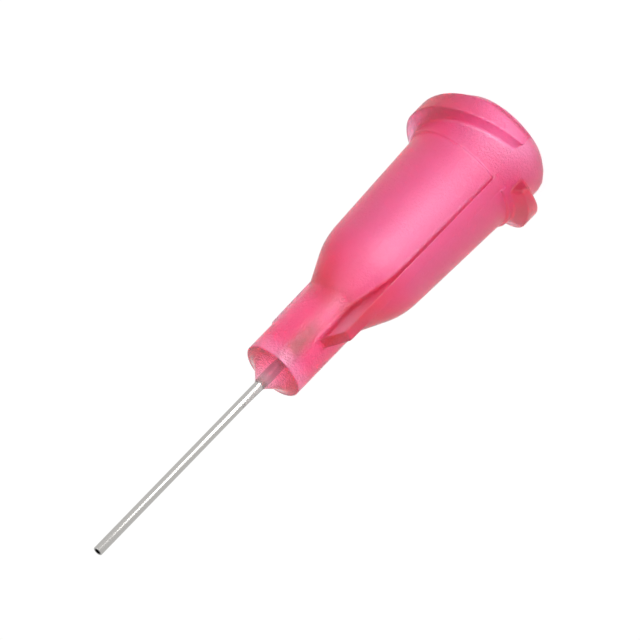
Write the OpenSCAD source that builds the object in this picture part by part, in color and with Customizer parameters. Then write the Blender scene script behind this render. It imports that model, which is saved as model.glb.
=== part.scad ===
// Dispensing tip with a luer-lock hub: one moulded hub, one blunt steel cannula, and the
// adhesive that bonds the cannula into the nose of the hub.
// The tip stands on its luer mouth. The origin is the centre of the mouth face, +Z runs along
// the axis to the open end of the cannula, and the two fins of the hub lie in the XZ plane.

/* [Hub outside] */
// Diameter of the flat ring at the mouth
mouth_d = 5.2; // [5:0.02:5.4]
// Height of the slope between the mouth ring and the collar
mouth_cone_height = 0.55; // [0.4:0.05:0.65]
// Diameter of the collar that carries the thread
collar_d = 6.36; // [6.2:0.02:6.4]
// Length of the collar from the mouth face
collar_length = 3.3; // [3.1:0.05:3.5]
// Diameter of the barrel next to the collar
barrel_d = 6.06; // [5.9:0.02:6.1]
// Diameter at which the line of the barrel meets the line of the shoulder
barrel_end_d = 5.46; // [5.3:0.02:5.6]
// Length of the barrel from the collar to that meeting
barrel_length = 7.3; // [7:0.05:7.6]
// Length of the shoulder cone
shoulder_length = 2.45; // [2.2:0.05:2.8]
// Diameter of the nose
nose_d = 3.26; // [3.2:0.02:3.4]
// Length of the nose from the shoulder cone to the rim
nose_length = 4.75; // [4.5:0.05:5]
// Radius that rounds the barrel into the shoulder
barrel_round = 4.4; // [3.5:0.1:5]
// Radius that rounds the shoulder into the nose
nose_round = 0.5; // [0.3:0.05:0.8]

/* [Hub inside] */
// Diameter of the luer socket at the mouth
socket_d = 4.3; // [4.27:0.01:4.32]
// Taper of the socket on diameter, in percent
socket_taper = 6; // [5.9:0.1:6.1]
// Depth of the tapered socket
socket_depth = 9.5; // [9:0.1:10]
// Length of the funnel below the socket
funnel_length = 2.7; // [2.4:0.1:3]
// Diameter of the small end of the funnel
funnel_end_d = 0.9; // [0.8:0.05:1]
// Diameter of the adhesive well in the nose
well_d = 2.84; // [2.6:0.02:2.9]
// Depth of the adhesive well
well_depth = 1.1; // [0.9:0.05:1.4]

/* [Lock thread] */
// Number of thread starts
thread_starts = 2; // [2:1:2]
// Diameter over the crests of the thread
thread_d = 7.82; // [7.7:0.02:7.9]
// Advance of the thread in one turn
thread_lead = 5; // [4.8:0.1:5.2]
// Angle that each start wraps round the collar
thread_wrap = 153; // [140:1:160]
// Direction of the low end of the first start, from the plane of the fins
thread_turn = 11.5; // [8:0.5:16]
// Height of the low end's upper crest edge
thread_low = 1.26; // [1.2:0.02:1.34]
// Height at which the upper crest edge of the high end is cut level
thread_top = 2.7; // [2.6:0.05:2.8]
// Height at which the low end is cut level, short of the mouth face
thread_stop = 0.65; // [0.55:0.05:0.75]
// Width of the crest along the axis
crest_w = 1.05; // [0.9:0.05:1.1]
// Rise of the flank that faces the cannula
upper_flank = 0.3; // [0.2:0.05:0.35]
// Drop of the flank that faces the mouth
lower_flank = 0.5; // [0.3:0.05:0.6]

/* [Fins] */
// Distance over the crests of the two fins, at the collar
fins_d = 6.44; // [6.42:0.01:6.5]
// Distance over the crests of the two fins, at the nose
fins_end_d = 6.14; // [6:0.02:6.3]
// Thickness of a fin at the collar
fin_w = 0.76; // [0.7:0.02:0.85]
// Thickness of a fin at the nose
fin_end_w = 0.6; // [0.5:0.02:0.65]
// Distance of the fin's crest end from the rim of the nose
fin_end = 3; // [2.8:0.05:3.2]
// Distance of the fin's foot from the rim of the nose
fin_foot = 2.2; // [2:0.05:2.4]

/* [Cannula] */
// Outside diameter of the cannula
needle_d = 0.51; // [0.48:0.01:0.55]
// Bore of the cannula
needle_bore = 0.26; // [0.22:0.01:0.3]
// Length of the cannula beyond the rim of the nose
needle_reach = 13.4; // [12:0.1:14]
// Length of the cannula inside the hub
needle_inside = 5.5; // [5.3:0.05:5.55]
// Clearance on diameter between the cannula and its hole in the hub
needle_clearance = 0.02; // [0.01:0.01:0.04]

/* [Adhesive] */
// Height to which the adhesive climbs the cannula above the rim
climb = 1; // [0.7:0.05:1.2]
// Hollow of the adhesive's surface, measured from its straight line
climb_hollow = 0.12; // [0.06:0.01:0.16]

/* [Hidden] */

// Facets of a round surface
$fn = 96;
// Lines that make up a round stretch of an outline
ROUND_STEPS = 10;
// Angle between two sections of the thread
THREAD_STEP = 4.5;
// Depth to which the thread and the fins are sunk into the round of the hub
SINK = 0.2;
// How far a cutting shape runs past the face that it cuts
PAST = 0.5;

shoulder_z = collar_length + barrel_length;
nose_z = shoulder_z + shoulder_length;
hub_length = nose_z + nose_length;
socket_end_d = socket_d - socket_depth * socket_taper / 100;
funnel_end = socket_depth + funnel_length;
needle_hole_d = needle_d + needle_clearance;
needle_low = hub_length - needle_inside;
well_z = hub_length - well_depth;

function unit(v) = v / norm(v);

// Points of the arc of radius r that rounds corner b between the lines to a and to c
function rounded(a, b, c, r) =
    let (
        u = unit(a - b),
        v = unit(c - b),
        half = acos(u * v) / 2,
        centre = b + unit(u + v) * r / sin(half),
        from = b + u * r / tan(half) - centre,
        start = atan2(from.y, from.x),
        side = sign(u.x * v.y - u.y * v.x),
        turn = side * (180 - 2 * half)
    )
    [for (i = [0:ROUND_STEPS]) let (angle = start - turn * i / ROUND_STEPS)
        centre + r * [cos(angle), sin(angle)]];

// Points of the arc from a to b that stands off its chord by hollow, to the chord's left
function bowed(a, b, hollow) =
    let (
        chord = norm(b - a),
        r = (chord * chord / 4 + hollow * hollow) / (2 * hollow),
        along = unit(b - a),
        across = [-along.y, along.x],
        centre = (a + b) / 2 + across * (hollow - r),
        spread = asin(chord / 2 / r),
        middle = atan2(across.y, across.x)
    )
    [for (i = [0:ROUND_STEPS]) let (angle = middle + spread * (1 - 2 * i / ROUND_STEPS))
        centre + r * [cos(angle), sin(angle)]];

// Outside of the hub without its fins and thread, as radius and height
module hub_round() {
    collar_end = [barrel_d / 2, collar_length];
    shoulder = [barrel_end_d / 2, shoulder_z];
    nose = [nose_d / 2, nose_z];
    rim = [nose_d / 2, hub_length];
    rotate_extrude()
        polygon(concat(
            [[0, 0], [mouth_d / 2, 0], [collar_d / 2, mouth_cone_height],
                [collar_d / 2, collar_length], collar_end],
            rounded(collar_end, shoulder, nose, barrel_round),
            rounded(shoulder, nose, rim, nose_round),
            [rim, [0, hub_length]]
        ));
}

// Socket, funnel, cannula hole and adhesive well, as one turned shape
module hub_cavity() {
    mouth_flare = PAST * socket_taper / 200;
    rotate_extrude()
        polygon([
            [0, -PAST],
            [socket_d / 2 + mouth_flare, -PAST],
            [socket_end_d / 2, socket_depth],
            [funnel_end_d / 2, funnel_end],
            [needle_hole_d / 2, funnel_end],
            [needle_hole_d / 2, well_z],
            [well_d / 2, well_z],
            [well_d / 2, hub_length + PAST],
            [0, hub_length + PAST]
        ]);
}

// One fin in the XZ plane: its side view, narrowed by its front view
module fin() {
    root = nose_d / 2 - SINK;
    top = hub_length - fin_foot;
    crest_end = hub_length - fin_end;
    crest_low = collar_length - SINK;
    intersection() {
        rotate([90, 0, 0])
            linear_extrude(2 * fin_w, center = true)
                polygon([[root, crest_low], [fins_d / 2, crest_low],
                    [fins_end_d / 2, crest_end], [nose_d / 2, top], [root, top]]);
        rotate([90, 0, 90])
            linear_extrude(fins_d)
                polygon([[-fin_w / 2, crest_low], [fin_w / 2, crest_low],
                    [fin_end_w / 2, top], [-fin_end_w / 2, top]]);
    }
}

// Section of the thread at an angle past its low end, as points in space
function thread_section(angle) =
    let (
        climb_z = thread_low + thread_lead * angle / 360,
        crest = min(thread_top, climb_z),
        root_r = collar_d / 2 - SINK,
        outline = [
            [root_r, crest + upper_flank],
            [thread_d / 2, crest],
            [thread_d / 2, max(thread_stop, climb_z - crest_w)],
            [root_r, max(thread_stop, climb_z - crest_w - lower_flank)]
        ]
    )
    [for (p = outline) [p.x * cos(angle), p.x * sin(angle), p.y]];

// One start of the lock thread, a right-hand helix from its low end at angle 0
module thread_start() {
    steps = round(thread_wrap / THREAD_STEP);
    corners = len(thread_section(0));
    points = [for (i = [0:steps]) each thread_section(thread_wrap * i / steps)];
    skin = [for (i = [0:steps - 1]) for (k = [0:corners - 1])
        let (
            a = corners * i + k,
            b = corners * i + (k + 1) % corners,
            c = b + corners,
            d = a + corners
        )
        each [[a, c, b], [a, d, c]]];
    low_end = [for (k = [0:corners - 1]) k];
    high_end = [for (k = [corners - 1:-1:0]) corners * steps + k];
    polyhedron(points, concat(skin, [low_end, high_end]));
}

module hub() {
    color("hotpink")
        difference() {
            union() {
                hub_round();
                for (side = [0, 180])
                    rotate(side)
                        fin();
                for (start = [0:thread_starts - 1])
                    rotate(thread_turn + start * 360 / thread_starts)
                        thread_start();
            }
            hub_cavity();
        }
}

module needle() {
    color("silver")
        translate([0, 0, needle_low])
            difference() {
                cylinder(h = needle_inside + needle_reach, d = needle_d);
                translate([0, 0, -PAST])
                    cylinder(h = needle_inside + needle_reach + 2 * PAST, d = needle_bore);
            }
}

module adhesive() {
    color("lightpink")
        rotate_extrude()
            polygon(concat(
                [[needle_d / 2, well_z], [well_d / 2, well_z]],
                bowed([well_d / 2, hub_length], [needle_d / 2, hub_length + climb], climb_hollow)
            ));
}

hub();
needle();
adhesive();
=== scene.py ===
"""Looks of a dispensing tip: a moulded luer-lock hub, its blunt cannula and the adhesive
that bonds the two, on a plain white stage.

Laid out as an add-on and run as a script. Sizes are in metres unless a name says mm.
"""
import math

import bmesh
import bpy
import numpy as np
from mathutils import Matrix, Vector


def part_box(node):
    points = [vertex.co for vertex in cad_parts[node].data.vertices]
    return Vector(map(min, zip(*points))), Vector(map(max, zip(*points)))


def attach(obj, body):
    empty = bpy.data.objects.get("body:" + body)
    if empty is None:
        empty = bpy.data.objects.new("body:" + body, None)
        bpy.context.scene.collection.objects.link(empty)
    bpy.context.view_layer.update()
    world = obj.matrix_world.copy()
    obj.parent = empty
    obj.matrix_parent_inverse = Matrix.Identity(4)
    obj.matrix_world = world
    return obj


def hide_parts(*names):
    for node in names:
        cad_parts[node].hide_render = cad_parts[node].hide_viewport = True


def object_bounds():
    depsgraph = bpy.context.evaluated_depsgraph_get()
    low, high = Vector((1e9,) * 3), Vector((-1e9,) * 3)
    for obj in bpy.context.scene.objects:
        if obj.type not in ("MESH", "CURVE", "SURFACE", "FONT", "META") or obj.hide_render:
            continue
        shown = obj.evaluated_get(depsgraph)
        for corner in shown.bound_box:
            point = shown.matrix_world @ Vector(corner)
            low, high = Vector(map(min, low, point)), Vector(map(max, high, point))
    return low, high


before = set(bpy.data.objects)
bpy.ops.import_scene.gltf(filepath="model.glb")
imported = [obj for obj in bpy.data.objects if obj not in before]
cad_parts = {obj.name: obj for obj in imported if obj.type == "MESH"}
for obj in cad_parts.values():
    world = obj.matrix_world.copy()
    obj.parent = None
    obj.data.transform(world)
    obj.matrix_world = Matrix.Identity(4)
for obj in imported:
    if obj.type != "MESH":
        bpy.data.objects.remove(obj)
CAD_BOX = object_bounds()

bl_info = {
    "name": "Dispensing needle tip",
    "version": (1, 0, 0),
    "blender": (4, 5, 0),
    "location": "View3D > Sidebar > Needle tip",
    "description": "Builds a dispensing needle tip from its hub, cannula and adhesive",
    "category": "Object",
}

MM = 0.001
HUB_LOW, HUB_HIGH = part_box("hub")
NEEDLE_LOW, NEEDLE_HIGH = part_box("needle")
GLUE_LOW, GLUE_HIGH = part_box("adhesive")


def length(name, description, size):
    """A length property, in metres."""
    return bpy.props.FloatProperty(
        name=name, description=description, default=size, min=0, precision=6, unit="LENGTH")


def angle(name, description, degrees):
    """An angle property, given in degrees and kept in radians."""
    return bpy.props.FloatProperty(
        name=name, description=description, default=math.radians(degrees), subtype="ANGLE")


def colour(name, description, hex_value):
    """A colour property, given as an sRGB hex value and kept linear."""
    return bpy.props.FloatVectorProperty(
        name=name, description=description, default=linear(hex_value), size=4,
        min=0, max=1, subtype="COLOR")


def linear(hex_value):
    """The linear colour of an sRGB hex value."""
    parts = [int(hex_value[i:i + 2], 16) / 255 for i in (1, 3, 5)]
    return (*(p / 12.92 if p <= 0.04045 else ((p + 0.055) / 1.055) ** 2.4 for p in parts), 1)


class TipHubSizes(bpy.types.PropertyGroup):
    """Sizes of the moulded hub."""
    mouth_d: length("Mouth", "Across the flat ring at the mouth", 5.2 * MM)
    mouth_cone: length("Mouth cone", "Height of the cone above the mouth", 0.55 * MM)
    collar_d: length("Collar", "Across the collar that carries the thread", 6.36 * MM)
    collar_top: length("Collar top", "Height of the collar's upper end", 3.3 * MM)
    barrel_d: length("Barrel", "Across the barrel at the collar", 6.06 * MM)
    barrel_end_d: length("Barrel end", "Across the barrel at the shoulder", 5.46 * MM)
    shoulder_low: length("Shoulder", "Height at which the shoulder starts", 10.6 * MM)
    nose_low: length("Nose", "Height at which the nose starts", 13.05 * MM)
    nose_d: length("Nose width", "Across the nose", 3.26 * MM)
    rim: length("Rim", "Height of the nose's rim", HUB_HIGH.z)
    barrel_round: length("Shoulder round", "Radius from barrel to shoulder", 4.4 * MM)
    nose_round: length("Nose round", "Radius from shoulder to nose", 0.5 * MM)
    socket_d: length("Socket", "Across the luer socket at the mouth", 4.3 * MM)
    socket_end_d: length("Socket end", "Across the luer socket at its bottom", 3.73 * MM)
    socket_depth: length("Socket depth", "Depth of the luer socket", 9.5 * MM)
    funnel_end_d: length("Funnel end", "Across the funnel's small end", 0.9 * MM)
    funnel_top: length("Funnel top", "Height of the funnel's small end", 12.2 * MM)
    hole_d: length("Cannula hole", "Across the hole for the cannula", 0.53 * MM)
    well_d: length("Well", "Across the adhesive well", 2.84 * MM)
    well_low: length("Well bottom", "Height of the bottom of the well", GLUE_LOW.z)


class TipThreadSizes(bpy.types.PropertyGroup):
    """Sizes of the two-start lock thread."""
    crest_d: length("Crests", "Across the crests of the thread", 2 * HUB_HIGH.y)
    lead: length("Lead", "Advance of the thread in one turn", 5 * MM)
    wrap: angle("Wrap", "Angle that each start wraps round the collar", 153)
    turn: angle("Turn", "Direction of the low end of the first start", 11.5)
    low: length("Low end", "Height of the crest's upper edge at the low end", 1.26 * MM)
    top: length("Top", "Height at which the high end is cut level", 2.7 * MM)
    stop: length("Stop", "Height at which the low end is cut level", 0.65 * MM)
    crest_w: length("Crest width", "Width of the crest along the axis", 1.05 * MM)
    root_d: length("Root", "Across the sunk root of the thread", 5.96 * MM)
    upper_flank: length("Upper flank", "Rise of the flank towards the cannula", 0.3 * MM)
    lower_flank: length("Lower flank", "Drop of the flank towards the mouth", 0.5 * MM)


class TipFinSizes(bpy.types.PropertyGroup):
    """Sizes of the two fins."""
    low_d: length("Low width", "Over the two crests at the collar", 6.44 * MM)
    high_d: length("High width", "Over the two crests at their upper end", 6.14 * MM)
    low: length("Low end", "Height of the fins' lower end", 3.1 * MM)
    crest_top: length("Crest end", "Height at which the crest ends", 14.8 * MM)
    top: length("Foot", "Height of the fins' foot on the nose", 15.6 * MM)
    low_w: length("Low thickness", "Thickness of a fin at the collar", 0.76 * MM)
    high_w: length("High thickness", "Thickness of a fin at its upper end", 0.6 * MM)


class TipNeedleSizes(bpy.types.PropertyGroup):
    """Sizes of the cannula and of the adhesive on it."""
    outside_d: length("Outside", "Across the cannula", 2 * NEEDLE_HIGH.x)
    bore_d: length("Bore", "Across the bore", 0.26 * MM)
    low: length("Low end", "Height of the cannula's inner end", NEEDLE_LOW.z)
    tip: length("Tip", "Height of the cannula's open end", NEEDLE_HIGH.z)
    climb: length("Climb", "Height to which the adhesive climbs", GLUE_HIGH.z)
    film: length("Film", "Height of the film's peak above the climb", 1.5 * MM)


class TipFinishes(bpy.types.PropertyGroup):
    """Colours of the tip and its stage."""
    pink: colour("Pink", "Barrel and collar of the hub", "#F982B5")
    red: colour("Red", "Thick plastic of the shoulder", "#F57088")
    salmon: colour("Salmon", "Nose of the hub", "#F8838F")
    skin: colour("Skin", "Clear skin of the hub", "#FFF3FD")
    depth: colour("Depth", "Light that passes deep plastic", "#FE00B8")
    steel: colour("Steel", "Drawn tube", "#B4B2AF")
    # painted shade: the bore colour is darker than the steel, as little light gets into the tube
    bore: colour("Bore", "Inside of the tube", "#3A3A3C")
    # painted light: the adhesive is clear, and this pink is the hub's colour seen through it
    painted_hub_pink: colour("Adhesive", "Cured adhesive where it is deep", "#FF9DB6")
    thin_glue: colour("Thin adhesive", "Cured adhesive where it is thin", "#F4F0EF")
    glue_depth: colour("Adhesive depth", "Light that passes deep adhesive", "#FE00AA")
    floor: colour("Floor", "Stage", "#F4F4F4")


SETTINGS = {
    "tip_hub": TipHubSizes,
    "tip_thread": TipThreadSizes,
    "tip_fins": TipFinSizes,
    "tip_needle": TipNeedleSizes,
    "tip_finishes": TipFinishes,
}

# ---------------------------------------------------------------- shapes

# Radii of the moulding's outer edges: plain ones, the mouth cone's, the fins', the thread's
# crest, its high end, its low end and the rim of the nose
EDGE = 0.05 * MM
CONE_EDGE = 4 * EDGE
FIN_EDGE = 2 * EDGE
CREST_EDGE = 1.4 * EDGE
THREAD_END_ROUND = 0.25 * MM
THREAD_LOW_ROUND = 0.16 * MM
RIM_EDGE = 0.07 * MM
# Radii of its fillets: feet of the fins, foot of the thread and step above the collar
FIN_FILLET = 0.17 * MM
THREAD_FILLET = 0.12 * MM
STEP_FILLET = 0.05 * MM
# How far the barrel's outline runs down into the collar
BARREL_SUNK = 0.3 * MM
# Share of the fins' length after which they no longer narrow
FIN_TAPER_END = 1.1

# Directions, in degrees from the middle of a fin, of the hub's columns of faces: over the
# fin's crest, down its side, and round the rest of half a turn
CREST_COLUMNS = [-4.5, -3, -1.5, 0, 1.5, 3, 4.5]
SIDE_COLUMNS = [4.9 + 0.4 * i for i in range(20)]
PLAIN_COLUMNS = np.arange(14.5, 161, 2.6)
HALF_TURN_END = 175.4
# Angles in degrees from each end of a thread start to the columns beside it
END_COLUMNS = [0.03, 0.1, 0.25, 0.5, 0.9, 1.5, 2.3, 3.4, 5.2]
# Least angle in degrees between two columns, and between two this close to a thread end
LEAST_STEP = 0.33
LEAST_END_STEP = 0.05
END_REACH = 0.4

# Distances from each of the hub's edges to the rings of faces beside it
EDGE_RINGS = [0.004 * MM, 0.013 * MM, 0.03 * MM, 0.055 * MM, 0.09 * MM, 0.14 * MM]
# Number of even rings from each edge to the next, mouth to rim
EVEN_RINGS = [4, 3, 7, 4, 5, 20, 30, 12, 18, 12]
# Most that the rings beside an edge may take of the room to the next edge
EDGE_ROOM = 0.45
# Distance of the first and last ring from the mouth face and from the rim
END_RING = 0.002 * MM
# Least height of the thread's crest and lower flank, and the share of a flank that has rings
THREAD_LAND = 0.07 * MM
FLANK_SHARE = 0.8

# Radius of the unshaped skin, well outside the hub, and the height between two of its rings
SKIN_R = 10 * MM
RING_STEP = 1 * MM
# Radii between which the outside of the hub lies, and the halvings that find it
LEAST_R = 1.2 * MM
MOST_R = 4.5 * MM
HALVINGS = 40

# Radii of the corners inside the hub, rim to mouth
WELL_EDGE = 0.03 * MM
WELL_ROUND = 0.1 * MM
HOLE_ROUND = 0.05 * MM
FUNNEL_ROUND = 0.15 * MM
SOCKET_EDGE = 0.06 * MM

# Radii of the cannula's broken edges: outside at its inner end, outside at its tip, bore
NEEDLE_LOW_EDGE = 0.015 * MM
NEEDLE_TIP_EDGE = 0.018 * MM
BORE_EDGE = 0.01 * MM

# How close to the well a face counts as bonded
BOND = 0.03 * MM
# How far the adhesive reaches into the steel, into the hub and over the hub's rounded rim
GLUE_IN_STEEL = 0.02 * MM
GLUE_IN_HUB = 0.005 * MM
GLUE_ABOVE_WELL = 0.004 * MM
GLUE_OVER_RIM = 0.01 * MM
# Steps of the hollow surface up the cannula, and how hollow it is: 1 is a straight cone
HOLLOW_STEPS = 30
HOLLOW = 1.7
# Film of adhesive on the steel: thickness at its foot and at its upper edge, least height,
# rows, the side on which its peak stands, half its spread and how pointed it is
FILM = 0.03 * MM
FILM_END = 0.001 * MM
FILM_LEAST = 0.06 * MM
FILM_ROWS = 16
FILM_SIDE = math.radians(-25)
FILM_SPREAD = math.radians(75)
FILM_POINT = 1.5
# Facets round the cannula and the adhesive
FACETS = 96


def rounded_and(first, second, radius):
    """Distance to what two solids share, its edge rounded."""
    sharp = np.minimum(-radius, np.maximum(first, second))
    over = np.hypot(np.maximum(first + radius, 0), np.maximum(second + radius, 0))
    return sharp + over


def rounded_or(first, second, radius):
    """Distance to two solids joined, with a fillet where they meet."""
    sharp = np.maximum(radius, np.minimum(first, second))
    under = np.hypot(np.maximum(radius - first, 0), np.maximum(radius - second, 0))
    return sharp - under


def arc(before, corner, after, radius, steps=24):
    """Points that round a corner of an outline."""
    before, corner, after = (np.array(p, float) for p in (before, corner, after))
    back = (before - corner) / np.linalg.norm(before - corner)
    on = (after - corner) / np.linalg.norm(after - corner)
    half = math.acos(float(back @ on)) / 2
    middle = corner + (back + on) / np.linalg.norm(back + on) * radius / math.sin(half)
    start = corner + back * radius / math.tan(half) - middle
    end = corner + on * radius / math.tan(half) - middle
    turn = math.atan2(start[0] * end[1] - start[1] * end[0], float(start @ end))
    points = []
    for i in range(steps + 1):
        c = math.cos(turn * i / steps)
        s = math.sin(turn * i / steps)
        points.append(middle + (c * start[0] - s * start[1], s * start[0] + c * start[1]))
    return points


def hub_distance(radius, turn, height, hub, thread, fins):
    """Signed distance, roughly, from points to the outside of the hub."""
    x = radius * np.cos(turn)
    y = radius * np.sin(turn)
    # collar: a drum with a cone at the mouth
    mouth_r = hub.mouth_d / 2
    collar_r = hub.collar_d / 2
    slope = math.hypot(collar_r - mouth_r, hub.mouth_cone)
    cone = ((radius - mouth_r) * hub.mouth_cone - height * (collar_r - mouth_r)) / slope
    collar = rounded_and(radius - collar_r, cone, CONE_EDGE)
    collar = rounded_and(collar, height - hub.collar_top, EDGE)
    # barrel, shoulder and nose: one rounded outline
    low = (hub.barrel_d / 2, hub.collar_top)
    corner = (hub.barrel_end_d / 2, hub.shoulder_low)
    neck = (hub.nose_d / 2, hub.nose_low)
    rim = (hub.nose_d / 2, hub.rim)
    outline = np.array([low, *arc(low, corner, neck, hub.barrel_round),
                        *arc(corner, neck, rim, hub.nose_round), rim])
    line_r = np.interp(height, outline[:, 1], outline[:, 0])
    lean = np.interp(height, outline[:, 1], np.gradient(outline[:, 0], outline[:, 1]))
    barrel = (radius - line_r) / np.hypot(1, lean)
    barrel = rounded_and(barrel, height - hub.rim, RIM_EDGE)
    barrel = np.maximum(barrel, hub.collar_top - BARREL_SUNK - height)
    body = rounded_or(collar, barrel, STEP_FILLET)
    # fins: a crest line, an end line and two flat sides
    part = np.clip((height - fins.low) / (fins.crest_top - fins.low), 0, FIN_TAPER_END)
    crest = np.abs(x) - (fins.low_d + (fins.high_d - fins.low_d) * part) / 2
    side = np.abs(y) - (fins.low_w + (fins.high_w - fins.low_w) * part) / 2
    drop = (fins.high_d - hub.nose_d) / 2
    run = fins.top - fins.crest_top
    end = (np.abs(x) - fins.high_d / 2) * run + (height - fins.crest_top) * drop
    end = end / math.hypot(run, drop)
    fin = rounded_and(crest, end, FIN_EDGE)
    fin = rounded_and(fin, side, EDGE)
    fin = np.maximum(fin, fins.low - height)
    body = rounded_or(body, fin, FIN_FILLET)
    # thread: a helix with sloped flanks, cut level at both of its ends
    start_angle = np.mod(turn - thread.turn, math.pi)
    start_angle = np.where(start_angle > (math.pi + thread.wrap) / 2,
                           start_angle - math.pi, start_angle)
    climb = thread.low + thread.lead * start_angle / (2 * math.pi)
    crest_top = np.minimum(thread.top, climb)
    crest_low = climb - thread.crest_w
    depth = thread.crest_d / 2 - radius
    height_of_thread = (thread.crest_d - thread.root_d) / 2
    over = (height - crest_top) * height_of_thread - depth * thread.upper_flank
    over = over / math.hypot(height_of_thread, thread.upper_flank)
    under = (crest_low - height) * height_of_thread - depth * thread.lower_flank
    under = under / math.hypot(height_of_thread, thread.lower_flank)
    lug = rounded_and(over, thread.stop - height, EDGE)
    lug = rounded_and(lug, under, EDGE)
    lug = rounded_and(lug, -depth, CREST_EDGE)
    before = -start_angle * radius
    beyond = (start_angle - thread.wrap) * radius
    lug = rounded_and(lug, before, THREAD_LOW_ROUND)
    lug = rounded_and(lug, beyond, THREAD_END_ROUND)
    return rounded_or(body, lug, THREAD_FILLET)


def hub_columns(thread):
    """Angles of the hub's columns of faces, closer together at fins and thread ends."""
    low = math.degrees(thread.turn)
    high = math.degrees(thread.turn + thread.wrap)
    ends = [low + side * n for n in END_COLUMNS for side in (-1, 1) if low + side * n > 0]
    ends += [high + side * n for n in END_COLUMNS for side in (-1, 1)]
    next_side = [180 - a for a in SIDE_COLUMNS]
    half = sorted([*CREST_COLUMNS, *SIDE_COLUMNS, *next_side, *ends, *PLAIN_COLUMNS])
    kept = [half[0]]
    for a in half[1:]:
        at_end = min(abs(a - low), abs(a - high)) < END_REACH
        least = LEAST_END_STEP if at_end else LEAST_STEP
        if a - kept[-1] > least and a < HALF_TURN_END:
            kept.append(a)
    return np.radians([*kept, *(a + 180 for a in kept)])


def hub_rings(turn, hub, thread, fins):
    """Heights of the hub's outer rings at some angles: one row for each ring."""
    start_angle = np.mod(turn - thread.turn, math.pi)
    gap = math.pi - thread.wrap
    along = np.minimum(start_angle, thread.wrap)
    back = np.clip((start_angle - thread.wrap) / gap, 0, 1)
    along = along * (1 - back * back * (3 - 2 * back))
    climb = thread.low + thread.lead * along / (2 * math.pi)
    crest_top = np.minimum(thread.top, climb)
    crest_low = np.maximum(thread.stop + THREAD_LAND, climb - thread.crest_w)
    root_low = np.maximum(thread.stop, climb - thread.crest_w - FLANK_SHARE * thread.lower_flank)
    root_low = np.minimum(root_low, crest_low - THREAD_LAND)
    root_top = crest_top + FLANK_SHARE * thread.upper_flank
    same = np.ones_like(turn)
    marks = [0 * same, root_low, crest_low, crest_top, root_top, hub.collar_top * same,
             hub.shoulder_low * same, hub.nose_low * same, fins.crest_top * same,
             fins.top * same, hub.rim * same]
    rings = [END_RING * same]
    for low, high, count in zip(marks, marks[1:], EVEN_RINGS):
        room = high - low
        most = EDGE_ROOM * room
        steps = [(0, near) for near in EDGE_RINGS]
        steps += [((i + 1) / (count + 1), 0) for i in range(count)]
        steps += [(1, -near) for near in EDGE_RINGS]
        rings += [low + share * room + np.clip(near, -most, most) for share, near in steps]
    rings = np.sort(np.array(rings), axis=0)
    rings = np.maximum(rings, END_RING)
    return np.minimum(rings, hub.rim - END_RING)


def chain(bm, points):
    """Vertices in the XZ plane at (radius, height) points, with an edge from each to the next."""
    made = [bm.verts.new((r, 0, z)) for r, z in points]
    for a, b in zip(made, made[1:]):
        bm.edges.new((a, b))
    return made


def spin_closed(bm, steps):
    """Turns everything in the mesh a full turn round the axis."""
    bmesh.ops.spin(bm, geom=bm.verts[:] + bm.edges[:], cent=(0, 0, 0), axis=(0, 0, 1),
                   angle=2 * math.pi, steps=steps, use_merge=True, use_duplicate=False)


def corner_points(before, corner, after, radius, steps=4):
    """A rounded corner as plain (radius, height) pairs."""
    return [tuple(p) for p in arc(before, corner, after, radius, steps)]


def finished(bm, name, body, replaced, material):
    """Makes the mesh an object at the origin, smooth, facing out, riding with the tip."""
    bmesh.ops.recalc_face_normals(bm, faces=bm.faces[:])
    if bm.calc_volume(signed=True) < 0:
        bmesh.ops.reverse_faces(bm, faces=bm.faces[:])
    mesh = bpy.data.meshes.new(name)
    bm.to_mesh(mesh)
    bm.free()
    mesh.shade_smooth()
    mesh.materials.append(material)
    piece = bpy.data.objects.new(name, mesh)
    bpy.context.scene.collection.objects.link(piece)
    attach(piece, body)
    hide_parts(replaced)
    return piece


def cavity_outline(hub):
    """Outline of the well, the cannula's hole, the funnel and the socket, rim to mouth."""
    well = hub.well_d / 2
    hole = hub.hole_d / 2
    rim_out = (hub.nose_d / 2, hub.rim)
    rim_in = (well, hub.rim)
    well_foot = (well, hub.well_low)
    hole_top = (hole, hub.well_low)
    hole_low = (hole, hub.funnel_top)
    funnel_top = (hub.funnel_end_d / 2, hub.funnel_top)
    funnel_low = (hub.socket_end_d / 2, hub.socket_depth)
    mouth = (hub.socket_d / 2, 0)
    mouth_out = (hub.mouth_d / 2, 0)
    points = [((hub.nose_d / 2 + well) / 2, hub.rim)]
    points += corner_points(rim_out, rim_in, well_foot, WELL_EDGE)
    points += corner_points(rim_in, well_foot, hole_top, WELL_ROUND)
    points += [hole_top, hole_low]
    points += corner_points(hole_low, funnel_top, funnel_low, HOLE_ROUND)
    points += corner_points(funnel_top, funnel_low, mouth, FUNNEL_ROUND)
    points += corner_points(funnel_low, mouth, mouth_out, SOCKET_EDGE)
    # one more ring on the mouth's flat face, nearly halfway out
    points += [(0.55 * hub.socket_d / 2 + 0.45 * hub.mouth_d / 2, 0)]
    return points


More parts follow.
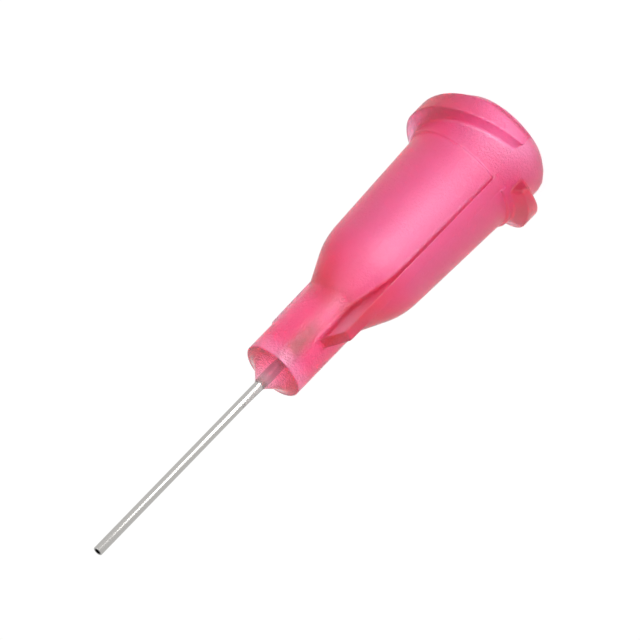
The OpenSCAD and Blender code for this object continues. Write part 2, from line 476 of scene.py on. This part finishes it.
def make_hub(scene):
    """The hub: a skin is spun with its cavity, then drawn in to the hub's outside."""
    hub, thread, fins = scene.tip_hub, scene.tip_thread, scene.tip_fins
    columns = hub_columns(thread)
    ring_count = len(hub_rings(np.zeros(1), hub, thread, fins))
    bm = bmesh.new()
    skin = [(SKIN_R, i * RING_STEP) for i in range(ring_count)]
    made = chain(bm, skin + cavity_outline(hub))
    bm.edges.new((made[-1], made[0]))
    spin_closed(bm, len(columns))
    bm.verts.ensure_lookup_table()
    places = np.array([v.co for v in bm.verts])
    radius = np.hypot(places[:, 0], places[:, 1])
    step = 2 * math.pi / len(columns)
    column = np.rint(np.arctan2(places[:, 1], places[:, 0]) / step).astype(int) % len(columns)
    turn = columns[column]
    height = places[:, 2].copy()
    outer = radius > SKIN_R / 2
    ring = np.rint(height[outer] / RING_STEP).astype(int)
    height[outer] = hub_rings(columns, hub, thread, fins)[ring, column[outer]]
    inside = np.full(outer.sum(), LEAST_R)
    outside = np.full(outer.sum(), MOST_R)
    for _ in range(HALVINGS):
        middle = (inside + outside) / 2
        solid = hub_distance(middle, turn[outer], height[outer], hub, thread, fins) < 0
        inside = np.where(solid, middle, inside)
        outside = np.where(solid, outside, middle)
    radius[outer] = inside
    for vert, r, a, z in zip(bm.verts, radius, turn, height):
        vert.co = (r * math.cos(a), r * math.sin(a), z)
    return finished(bm, "moulded_hub", "root", "hub", hub_plastic(scene))


def make_needle(scene):
    """The cannula: a tube cut square, with its cut edges just broken."""
    needle = scene.tip_needle
    outer = needle.outside_d / 2
    bore = needle.bore_d / 2
    bm = bmesh.new()
    low_out = (outer, needle.low)
    low_in = (bore, needle.low)
    tip_out = (outer, needle.tip)
    tip_in = (bore, needle.tip)
    points = corner_points(low_in, low_out, tip_out, NEEDLE_LOW_EDGE)
    points += corner_points(low_out, tip_out, tip_in, NEEDLE_TIP_EDGE)
    points += corner_points(tip_out, tip_in, low_in, BORE_EDGE)
    points += corner_points(tip_in, low_in, low_out, BORE_EDGE)
    made = chain(bm, points)
    bm.edges.new((made[-1], made[0]))
    spin_closed(bm, FACETS)
    return finished(bm, "steel_cannula", "root", "needle", drawn_steel(scene))


def make_adhesive(scene):
    """The adhesive: a filled well whose hollow surface climbs the cannula. On one side it is
    drawn up into a pointed film, which thins out on the steel."""
    hub, needle = scene.tip_hub, scene.tip_needle
    steel = needle.outside_d / 2
    inner = steel - GLUE_IN_STEEL
    outer = hub.well_d / 2 + GLUE_IN_HUB
    edge = hub.nose_d / 2 - RIM_EDGE + GLUE_OVER_RIM
    low = hub.well_low + GLUE_ABOVE_WELL
    lip = hub.rim - 0.5 * BOND
    bm = bmesh.new()
    points = [(inner, low), (outer, low), (outer, lip), (edge, lip)]
    for i in range(HOLLOW_STEPS + 1):
        part = i / HOLLOW_STEPS
        points.append((steel + FILM + (edge - steel - FILM) * (1 - part),
                       hub.rim + (needle.climb - hub.rim) * part ** HOLLOW))
    # the film's rows are spun a step apart, and then drawn down to its pointed edge
    points += [(steel + FILM, needle.climb + (i + 1) * RING_STEP) for i in range(FILM_ROWS)]
    points.append((inner, needle.climb + (FILM_ROWS + 1) * RING_STEP))
    made = chain(bm, points)
    bm.edges.new((made[-1], made[0]))
    spin_closed(bm, FACETS)
    for vert in bm.verts:
        row = (vert.co.z - needle.climb) / RING_STEP
        if row > 0.5:
            away = math.atan2(vert.co.y, vert.co.x) - FILM_SIDE
            away = abs(math.remainder(away, 2 * math.pi)) / FILM_SPREAD
            peak = FILM_LEAST + needle.film * max(0, 1 - away ** FILM_POINT)
            part = min(1, row / FILM_ROWS)
            r = math.hypot(vert.co.x, vert.co.y)
            if r > steel:
                thin = steel + FILM * (1 - part) + FILM_END
                vert.co.x *= thin / r
                vert.co.y *= thin / r
            vert.co.z = needle.climb + peak * part
    return finished(bm, "cured_adhesive", "root", "adhesive",
                    clear_adhesive(scene))


# ---------------------------------------------------------------- materials


def add_node(tree, kind, inputs=None, **settings):
    """Adds a node with its settings, and its inputs as values or as links."""
    made = tree.nodes.new(kind)
    for name, value in settings.items():
        setattr(made, name, value)
    for key, value in (inputs or {}).items():
        if isinstance(value, bpy.types.NodeSocket):
            tree.links.new(value, made.inputs[key])
        else:
            made.inputs[key].default_value = value
    return made


def new_material(name):
    """An empty node material and its tree."""
    material = bpy.data.materials.new(name)
    material.use_nodes = True
    material.node_tree.nodes.clear()
    return material, material.node_tree


def from_axis(tree, place):
    """Distance of a place from the axis of the tip."""
    flat = add_node(tree, "ShaderNodeMapping", {"Vector": place, "Scale": (1.0, 1.0, 0.0)})
    return add_node(tree, "ShaderNodeVectorMath", {0: flat.outputs["Vector"]},
                    operation="LENGTH").outputs["Value"]


def hub_plastic(scene):
    """Translucent polypropylene, injection moulded in a spark-eroded mould: light runs through
    its walls, thick places look redder and darker, and the skin has a fine satin grain."""
    hub, finishes = scene.tip_hub, scene.tip_finishes
    material, tree = new_material("moulded_polypropylene")
    place = add_node(tree, "ShaderNodeTexCoord").outputs["Object"]
    height = add_node(tree, "ShaderNodeSeparateXYZ", {"Vector": place}).outputs["Z"]
    # the cloudy part of the plastic is redder at the shoulder and paler at the nose
    share = add_node(tree, "ShaderNodeMapRange",
                     {"Value": height, "From Min": 0.0, "From Max": hub.rim})
    ramp = add_node(tree, "ShaderNodeValToRGB", {"Fac": share.outputs["Result"]})
    stops = [(0.0, finishes.pink), (0.5, finishes.pink),
             (0.68, finishes.red), (0.8, finishes.salmon)]
    for _ in stops[2:]:
        ramp.color_ramp.elements.new(0.5)
    for element, (at, shade) in zip(ramp.color_ramp.elements, stops):
        element.position = at
        element.color = shade
    # a spark-eroded grain is about 0.02 mm wide: drawn at 0.12 mm, as the real one would not show
    grain = add_node(tree, "ShaderNodeTexNoise", {
        "Vector": place, "Scale": 1 / (0.12 * MM), "Detail": 3.0, "Roughness": 0.6})
    bump = add_node(tree, "ShaderNodeBump", {
        "Height": grain.outputs["Fac"], "Strength": 1.0, "Distance": 0.05 * MM})
    cloudy = add_node(tree, "ShaderNodeBsdfPrincipled", {
        "Base Color": ramp.outputs["Color"], "Roughness": 0.33, "IOR": 1.49,
        "Normal": bump.outputs["Normal"], "Subsurface Weight": 1.0,
        "Subsurface Radius": (1.0, 0.35, 0.5), "Subsurface Scale": 1.2 * MM})
    clear = add_node(tree, "ShaderNodeBsdfPrincipled", {
        "Base Color": finishes.skin[:], "Roughness": 0.31, "IOR": 1.49,
        "Normal": bump.outputs["Normal"], "Transmission Weight": 1.0})
    # nearly all of the skin lets light through: a twentieth of it looks cloudy
    both = add_node(tree, "ShaderNodeMixShader", {
        0: 0.95, 1: cloudy.outputs["BSDF"], 2: clear.outputs["BSDF"]})
    # light runs straight on into the adhesive, where the well and the rim are bonded to it
    in_well = add_node(tree, "ShaderNodeMath", {
        0: from_axis(tree, place), 1: hub.nose_d / 2 - RIM_EDGE + BOND / 2},
        operation="LESS_THAN")
    above = add_node(tree, "ShaderNodeMath", {
        0: height, 1: hub.well_low - BOND}, operation="GREATER_THAN")
    bonded = add_node(tree, "ShaderNodeMath", {
        0: in_well.outputs["Value"], 1: above.outputs["Value"]}, operation="MULTIPLY")
    through = add_node(tree, "ShaderNodeBsdfTransparent")
    skin = add_node(tree, "ShaderNodeMixShader", {
        0: bonded.outputs["Value"], 1: both.outputs["Shader"], 2: through.outputs["BSDF"]})
    # thick walls swallow green first and then blue, so they look redder and darker
    thick = add_node(tree, "ShaderNodeVolumeAbsorption", {
        "Color": finishes.depth[:], "Density": 0.85 / MM})
    add_node(tree, "ShaderNodeOutputMaterial",
             {"Surface": skin.outputs["Shader"], "Volume": thick.outputs["Volume"]})
    return material


def drawn_steel(scene):
    """Stainless tube, cold drawn: fine marks run along it and its reflections are soft."""
    needle, finishes = scene.tip_needle, scene.tip_finishes
    material, tree = new_material("drawn_stainless_steel")
    place = add_node(tree, "ShaderNodeTexCoord").outputs["Object"]
    # draw marks are a few thousandths of a millimetre wide: drawn at 0.05 mm, as the real ones
    # would not show
    stretched = add_node(tree, "ShaderNodeMapping", {"Vector": place, "Scale": (1.0, 1.0, 0.02)})
    marks = add_node(tree, "ShaderNodeTexNoise", {
        "Vector": stretched.outputs["Vector"], "Scale": 1 / (0.05 * MM), "Detail": 2.0})
    rough = add_node(tree, "ShaderNodeMapRange", {
        "Value": marks.outputs["Fac"], "To Min": 0.16, "To Max": 0.26})
    bump = add_node(tree, "ShaderNodeBump", {
        "Height": marks.outputs["Fac"], "Strength": 0.2, "Distance": 0.004 * MM})
    # painted shade: the bore is darker, as no light gets far into it
    mid_wall = (needle.bore_d + needle.outside_d) / 4
    outside = add_node(tree, "ShaderNodeMath", {
        0: from_axis(tree, place), 1: mid_wall}, operation="GREATER_THAN")
    shade = add_node(tree, "ShaderNodeMix", {
        "Factor": outside.outputs["Value"], "A": finishes.bore[:], "B": finishes.steel[:]},
        data_type="RGBA")
    shader = add_node(tree, "ShaderNodeBsdfPrincipled", {
        "Base Color": shade.outputs["Result"], "Metallic": 1.0,
        "Roughness": rough.outputs["Result"], "Normal": bump.outputs["Normal"]})
    add_node(tree, "ShaderNodeOutputMaterial", {"Surface": shader.outputs["BSDF"]})
    return material


def clear_adhesive(scene):
    """Acrylic adhesive, cured by ultraviolet light: clear, glossy and faintly uneven. The pink of
    the hub around it, seen through its deep part, is painted into its colour as painted light,
    and this paint pales as the adhesive thins out on the steel."""
    hub, finishes = scene.tip_hub, scene.tip_finishes
    material, tree = new_material("cured_acrylic_adhesive")
    place = add_node(tree, "ShaderNodeTexCoord").outputs["Object"]
    height = add_node(tree, "ShaderNodeSeparateXYZ", {"Vector": place}).outputs["Z"]
    swell = add_node(tree, "ShaderNodeTexNoise", {"Vector": place, "Scale": 1 / (0.8 * MM)})
    bump = add_node(tree, "ShaderNodeBump", {
        "Height": swell.outputs["Fac"], "Strength": 0.2, "Distance": 0.03 * MM})
    thinning = add_node(tree, "ShaderNodeMapRange", {
        "Value": height, "From Min": hub.rim + 0.4 * MM, "From Max": scene.tip_needle.climb})
    # painted light: the hub's pink seen through the deep adhesive is painted into its colour,
    # fading to pale where it thins
    shade = add_node(tree, "ShaderNodeMix", {
        "Factor": thinning.outputs["Result"], "A": finishes.painted_hub_pink[:],
        "B": finishes.thin_glue[:]}, data_type="RGBA")
    # the index is set a little under the usual 1.48, which matches the look of the bead
    shader = add_node(tree, "ShaderNodeBsdfPrincipled", {
        "Base Color": shade.outputs["Result"], "Roughness": 0.08, "IOR": 1.36,
        "Transmission Weight": 0.8, "Normal": bump.outputs["Normal"]})
    # light runs straight on into the hub, where the adhesive is bonded to the well
    free = add_node(tree, "ShaderNodeMath", {
        0: height, 1: hub.rim - BOND / 3}, operation="GREATER_THAN")
    through = add_node(tree, "ShaderNodeBsdfTransparent")
    skin = add_node(tree, "ShaderNodeMixShader", {
        0: free.outputs["Value"], 1: through.outputs["BSDF"], 2: shader.outputs["BSDF"]})
    thick = add_node(tree, "ShaderNodeVolumeAbsorption", {
        "Color": finishes.glue_depth[:], "Density": 0.35 / MM})
    add_node(tree, "ShaderNodeOutputMaterial",
             {"Surface": skin.outputs["Shader"], "Volume": thick.outputs["Volume"]})
    return material


def white_share(tree):
    """How much of a ray sees the plain white of the stage: camera, mirror and glass rays."""
    path = add_node(tree, "ShaderNodeLightPath")
    seen = add_node(tree, "ShaderNodeMath", {
        0: path.outputs["Is Camera Ray"], 1: path.outputs["Is Glossy Ray"]},
        operation="MAXIMUM")
    share = add_node(tree, "ShaderNodeMath", {
        0: seen.outputs["Value"], 1: path.outputs["Is Transmission Ray"]},
        operation="MAXIMUM")
    return share.outputs["Value"]


def stage_white(scene):
    """Matt white board: nearly even, so that only a soft shadow of the tip shows on it."""
    material, tree = new_material("matt_white_board")
    place = add_node(tree, "ShaderNodeTexCoord").outputs["Object"]
    tooth = add_node(tree, "ShaderNodeTexNoise", {"Vector": place, "Scale": 1 / (0.4 * MM)})
    bump = add_node(tree, "ShaderNodeBump", {
        "Height": tooth.outputs["Fac"], "Strength": 0.05, "Distance": 0.01 * MM})
    board = add_node(tree, "ShaderNodeBsdfPrincipled", {
        "Base Color": scene.tip_finishes.floor[:], "Roughness": 0.9,
        "Normal": bump.outputs["Normal"], "Specular IOR Level": 0.0})
    glow = add_node(tree, "ShaderNodeEmission", {"Color": WHITE, "Strength": BOARD_GLOW})
    part = add_node(tree, "ShaderNodeMath", {
        0: white_share(tree), 1: BOARD_GLOW_SHARE}, operation="MULTIPLY")
    both = add_node(tree, "ShaderNodeMixShader", {
        0: part.outputs["Value"], 1: board.outputs["BSDF"], 2: glow.outputs["Emission"]})
    add_node(tree, "ShaderNodeOutputMaterial", {"Surface": both.outputs["Shader"]})
    return material


# ---------------------------------------------------------------- stage

# Direction from the tip to the camera: round the axis from a fin, and up from level
VIEW_TURN = math.radians(28.5)
VIEW_RISE = math.radians(24)
# How far the camera is turned round its own line of sight
VIEW_ROLL = math.radians(135.85)
# Height on the axis that the camera aims at, and how far it aims beside the axis
VIEW_AIM = 14.022 * MM
VIEW_SIDE = -0.084 * MM
# Width that it sees at the tip, and its focal length in millimetres
VIEW_WIDTH = 31.5 * MM
VIEW_LENS = 1200.0
# Each soft box: round the axis and up from level in degrees, distance from the tip, width,
# height, and brightness, 1 being white
LAMPS = {
    "front_box": (28.5, -14, 32 * MM, 22 * MM, 7 * MM, 16),
    "needle_box": (33, 3, 32 * MM, 12 * MM, 14 * MM, 8),
    "side_box": (78, 24, 110 * MM, 60 * MM, 60 * MM, 3),
}
# Height that the lamps face, as a share of half the tip's length
LAMP_AIM = 0.7
# Half the floor's width in metres
FLOOR_SIZE = 1.2
# Brightness of the board's own white, and its share: the rest is the lit board, which keeps
# the shadow, and the two add up to white
BOARD_GLOW = 1.15
BOARD_GLOW_SHARE = 0.8
# Brightness of the room as it lights the tip, and as it is seen: 1 is white
ROOM_LIGHT = 0.55
ROOM_SEEN = 1.0
WHITE = linear("#FFFFFF")


def direction(turn, rise):
    """Unit vector at an angle round the axis and an angle up from level."""
    return Vector((math.cos(rise) * math.cos(turn), math.cos(rise) * math.sin(turn),
                   math.sin(rise)))


def make_camera(scene):
    """A long lens above and in front of one fin, rolled so that the cannula points down left."""
    toward = direction(VIEW_TURN, VIEW_RISE)
    level = Vector((-math.sin(VIEW_TURN), math.cos(VIEW_TURN), 0))
    upright = toward.cross(level)
    right = level * math.cos(VIEW_ROLL) - upright * math.sin(VIEW_ROLL)
    up = level * math.sin(VIEW_ROLL) + upright * math.cos(VIEW_ROLL)
    data = bpy.data.cameras.new("long_lens")
    data.lens = VIEW_LENS
    away = VIEW_WIDTH / 2 / (data.sensor_width / 2 / VIEW_LENS)
    data.clip_start = away / 10
    data.clip_end = away * 10
    camera = bpy.data.objects.new("long_lens", data)
    scene.collection.objects.link(camera)
    aim = Vector((0, 0, VIEW_AIM)) - level * VIEW_SIDE
    spot = aim + toward * away
    camera.matrix_world = Matrix((
        (right.x, up.x, toward.x, spot.x), (right.y, up.y, toward.y, spot.y),
        (right.z, up.z, toward.z, spot.z), (0, 0, 0, 1)))
    scene.camera = camera


def make_lamp(scene, name, turn, rise, away, width, height, level):
    """A soft box that faces the tip."""
    data = bpy.data.lights.new(name, "AREA")
    data.shape = "RECTANGLE"
    data.size = width
    data.size_y = height
    data.energy = level * math.pi * width * height
    lamp = bpy.data.objects.new(name, data)
    scene.collection.objects.link(lamp)
    toward = direction(math.radians(turn), math.radians(rise))
    middle = (CAD_BOX[0] + CAD_BOX[1]) / 2
    middle.z *= LAMP_AIM
    lamp.rotation_mode = "QUATERNION"
    lamp.rotation_quaternion = toward.to_track_quat("Z", "Y")
    lamp.location = middle + toward * away


def make_stage(scene):
    """Floor, plain white surroundings, soft boxes and the camera."""
    bm = bmesh.new()
    bmesh.ops.create_grid(bm, x_segments=8, y_segments=8, size=FLOOR_SIZE)
    mesh = bpy.data.meshes.new("floor")
    bm.to_mesh(mesh)
    bm.free()
    mesh.materials.append(stage_white(scene))
    floor = bpy.data.objects.new("floor", mesh)
    scene.collection.objects.link(floor)
    world = bpy.data.worlds.new("studio")
    world.use_nodes = True
    tree = world.node_tree
    tree.nodes.clear()
    room = add_node(tree, "ShaderNodeBackground", {"Color": WHITE, "Strength": ROOM_LIGHT})
    white = add_node(tree, "ShaderNodeBackground", {"Color": WHITE, "Strength": ROOM_SEEN})
    both = add_node(tree, "ShaderNodeMixShader", {
        0: white_share(tree), 1: room.outputs["Background"], 2: white.outputs["Background"]})
    add_node(tree, "ShaderNodeOutputWorld", {"Surface": both.outputs["Shader"]})
    scene.world = world
    for name, lamp in LAMPS.items():
        make_lamp(scene, name, *lamp)
    make_camera(scene)
    scene.view_settings.view_transform = "Standard"


# ---------------------------------------------------------------- add-on


def run(context, make):
    """Runs one maker for an operator."""
    make(context.scene)
    return {"FINISHED"}


class TIP_OT_hub(bpy.types.Operator):
    """Build the moulded hub with its fins, thread, socket and well"""
    bl_idname = "needle_tip.hub"
    bl_label = "Hub"

    def execute(self, context):
        return run(context, make_hub)


class TIP_OT_needle(bpy.types.Operator):
    """Build the steel cannula"""
    bl_idname = "needle_tip.needle"
    bl_label = "Cannula"

    def execute(self, context):
        return run(context, make_needle)


class TIP_OT_adhesive(bpy.types.Operator):
    """Build the adhesive in the nose and up the cannula"""
    bl_idname = "needle_tip.adhesive"
    bl_label = "Adhesive"

    def execute(self, context):
        return run(context, make_adhesive)


class TIP_OT_stage(bpy.types.Operator):
    """Build the floor, the lamps and the camera"""
    bl_idname = "needle_tip.stage"
    bl_label = "Stage"

    def execute(self, context):
        return run(context, make_stage)


class TIP_PT_panel(bpy.types.Panel):
    """Lists the pieces of the tip"""
    bl_idname = "TIP_PT_panel"
    bl_label = "Needle tip"
    bl_space_type = "VIEW_3D"
    bl_region_type = "UI"
    bl_category = "Needle tip"

    def draw(self, context):
        for operator in OPERATORS:
            self.layout.operator(operator.bl_idname)
        for name, group in SETTINGS.items():
            box = self.layout.box()
            for prop in group.bl_rna.properties:
                if not prop.is_readonly and prop.identifier != "name":
                    box.prop(getattr(context.scene, name), prop.identifier)


OPERATORS = (TIP_OT_stage, TIP_OT_hub, TIP_OT_needle, TIP_OT_adhesive)


def register():
    """Registers the settings, the operators and the panel."""
    for name, group in SETTINGS.items():
        bpy.utils.register_class(group)
        setattr(bpy.types.Scene, name, bpy.props.PointerProperty(type=group))
    for made in (*OPERATORS, TIP_PT_panel):
        bpy.utils.register_class(made)


def unregister():
    """Takes away what register added."""
    for made in (TIP_PT_panel, *reversed(OPERATORS)):
        bpy.utils.unregister_class(made)
    for name, group in SETTINGS.items():
        delattr(bpy.types.Scene, name)
        bpy.utils.unregister_class(group)


def main():
    """Builds the whole tip and its stage."""
    register()
    bpy.ops.needle_tip.stage()
    bpy.ops.needle_tip.hub()
    bpy.ops.needle_tip.needle()
    bpy.ops.needle_tip.adhesive()


if __name__ == "__main__":
    main()
